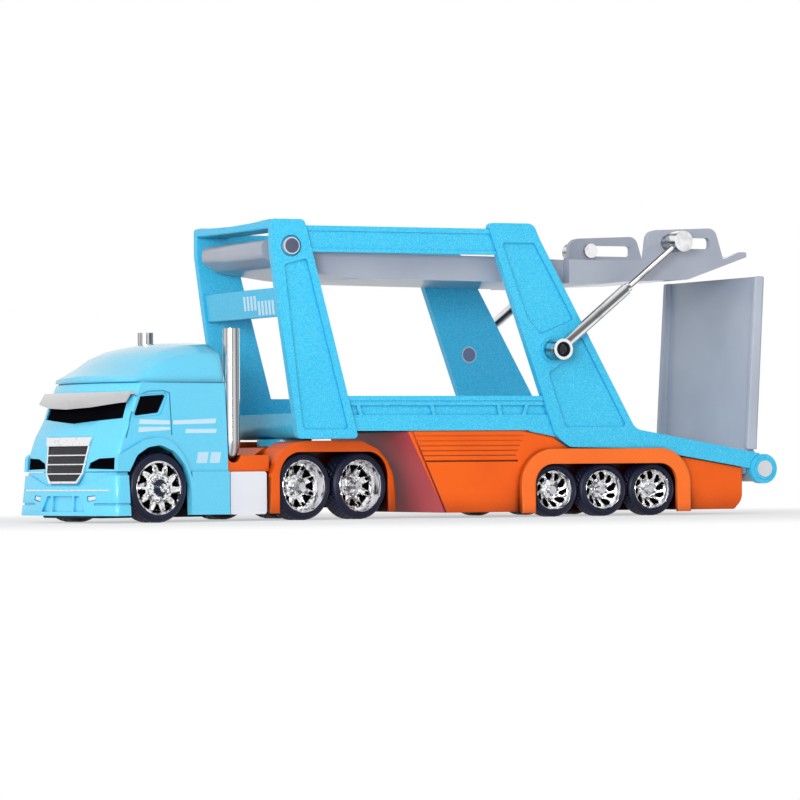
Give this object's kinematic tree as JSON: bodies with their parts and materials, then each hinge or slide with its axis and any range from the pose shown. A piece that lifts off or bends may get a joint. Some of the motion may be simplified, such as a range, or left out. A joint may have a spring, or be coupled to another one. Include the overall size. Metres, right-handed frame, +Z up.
{
  "type": "toy car carrier truck",
  "caption": "Toy car carrier lorry: a cab-over tractor hinged to a two-deck trailer with a tilting upper deck on struts and a fold-down rear ramp.",
  "frame": {"origin": "middle of the bottom of the whole toy's box, on the floor", "axes": "+X to the front along the trailer, +Y to the trailer's left, +Z up; the tractor stands turned 12.5 degrees to the left"},
  "size_m": [0.2004, 0.0662, 0.0753],
  "materials": {
    "blue_frame": "metallic light blue, glossy",
    "blue_cab": "metallic light blue, glossy",
    "orange_body": "glossy orange",
    "grey_plastic": "satin light grey",
    "bright_metal": "bright chrome plate",
    "pin_metal": "satin steel",
    "tyre": "matt black",
    "black_plastic": "glossy black",
    "silver_paint": "silver white paint",
    "axle_steel": "plain steel wire"
  },
  "bodies": {
    "trailer": {"side_frame_left": "blue_frame", "side_frame_right": "blue_frame", "front_portal": "blue_frame", "lower_deck": "blue_frame", "kingpin": "blue_frame", "trailer_chassis": "orange_body", "trailer_fenders": "orange_body", "deck_pins": "pin_metal", "strut_pins": "grey_plastic", "ramp_pins": "pin_metal"},
    "upper_deck": {"upper_deck": "grey_plastic"},
    "strut_barrels": {"strut_barrels": "bright_metal"},
    "strut_rods": {"strut_rods": "bright_metal"},
    "ramp": {"rear_ramp": "grey_plastic"},
    "tractor": {"cab_shell": "blue_cab", "cab_glazing": "black_plastic", "roof_cap": "blue_cab", "visor": "silver_paint", "exhaust_stacks": "bright_metal", "tractor_frame": "orange_body", "side_tanks": "silver_paint", "tractor_base": "black_plastic", "bumper": "blue_cab", "grille": "bright_metal", "grille_mesh": "black_plastic", "headlights": "black_plastic"},
    "front_wheels": {"front_axle": "axle_steel", "front_rims": "bright_metal", "front_tyres": "tyre"},
    "drive_1_wheels": {"drive_1_axle": "axle_steel", "drive_1_rims": "bright_metal", "drive_1_tyres": "tyre"},
    "drive_2_wheels": {"drive_2_axle": "axle_steel", "drive_2_rims": "bright_metal", "drive_2_tyres": "tyre"},
    "trailer_1_wheels": {"trailer_1_axle": "axle_steel", "trailer_1_rims": "bright_metal", "trailer_1_tyres": "tyre"},
    "trailer_2_wheels": {"trailer_2_axle": "axle_steel", "trailer_2_rims": "bright_metal", "trailer_2_tyres": "tyre"},
    "trailer_3_wheels": {"trailer_3_axle": "axle_steel", "trailer_3_rims": "bright_metal", "trailer_3_tyres": "tyre"}
  },
  "joints": [
    {"name": "deck_tilt", "type": "hinge", "parent": "trailer", "child": "upper_deck", "pos_m": [0.03956, -0.00199, 0.0686], "axis": [0, -1, 0], "range_deg": [0, 20]},
    {"name": "strut_swing", "type": "hinge", "parent": "trailer", "child": "strut_barrels", "pos_m": [-0.03384, -0.00199, 0.0429], "axis": [0, -1, 0], "range_deg": [0, 58]},
    {"name": "rod_slide", "type": "slide", "parent": "strut_barrels", "child": "strut_rods", "axis": [-0.7839, 0, 0.6209], "range_m": [-0.0042, 0]},
    {"name": "ramp_hinge", "type": "hinge", "parent": "trailer", "child": "ramp", "pos_m": [-0.09634, -0.00199, 0.0119], "axis": [0, -1, 0], "range_deg": [0, 101]},
    {"name": "kingpin_turn", "type": "hinge", "parent": "trailer", "child": "tractor", "pos_m": [0.03066, -0.00199, 0.0183], "axis": [0, 0, 1], "range_deg": [-72.5, 47.5]},
    {"name": "front_spin", "type": "hinge", "parent": "tractor", "child": "front_wheels", "pos_m": [0.0826, 0.00952, 0.0085], "axis": [-0.2164, 0.9763, 0], "continuous": true},
    {"name": "drive_1_spin", "type": "hinge", "parent": "tractor", "child": "drive_1_wheels", "pos_m": [0.03934, -0.00007, 0.0085], "axis": [-0.2164, 0.9763, 0], "continuous": true},
    {"name": "drive_2_spin", "type": "hinge", "parent": "tractor", "child": "drive_2_wheels", "pos_m": [0.02187, -0.00394, 0.0085], "axis": [-0.2164, 0.9763, 0], "continuous": true},
    {"name": "trailer_1_spin", "type": "hinge", "parent": "trailer", "child": "trailer_1_wheels", "pos_m": [-0.03454, -0.00199, 0.0069], "axis": [0, 1, 0], "continuous": true},
    {"name": "trailer_2_spin", "type": "hinge", "parent": "trailer", "child": "trailer_2_wheels", "pos_m": [-0.04894, -0.00199, 0.0069], "axis": [0, 1, 0], "continuous": true},
    {"name": "trailer_3_spin", "type": "hinge", "parent": "trailer", "child": "trailer_3_wheels", "pos_m": [-0.06334, -0.00199, 0.0069], "axis": [0, 1, 0], "continuous": true}
  ],
  "couplings": [
    {"joint": "strut_swing", "follows": "deck_tilt", "ratio": 2.806},
    {"joint": "rod_slide", "follows": "deck_tilt", "m_per_rad": -0.011906}
  ]
}
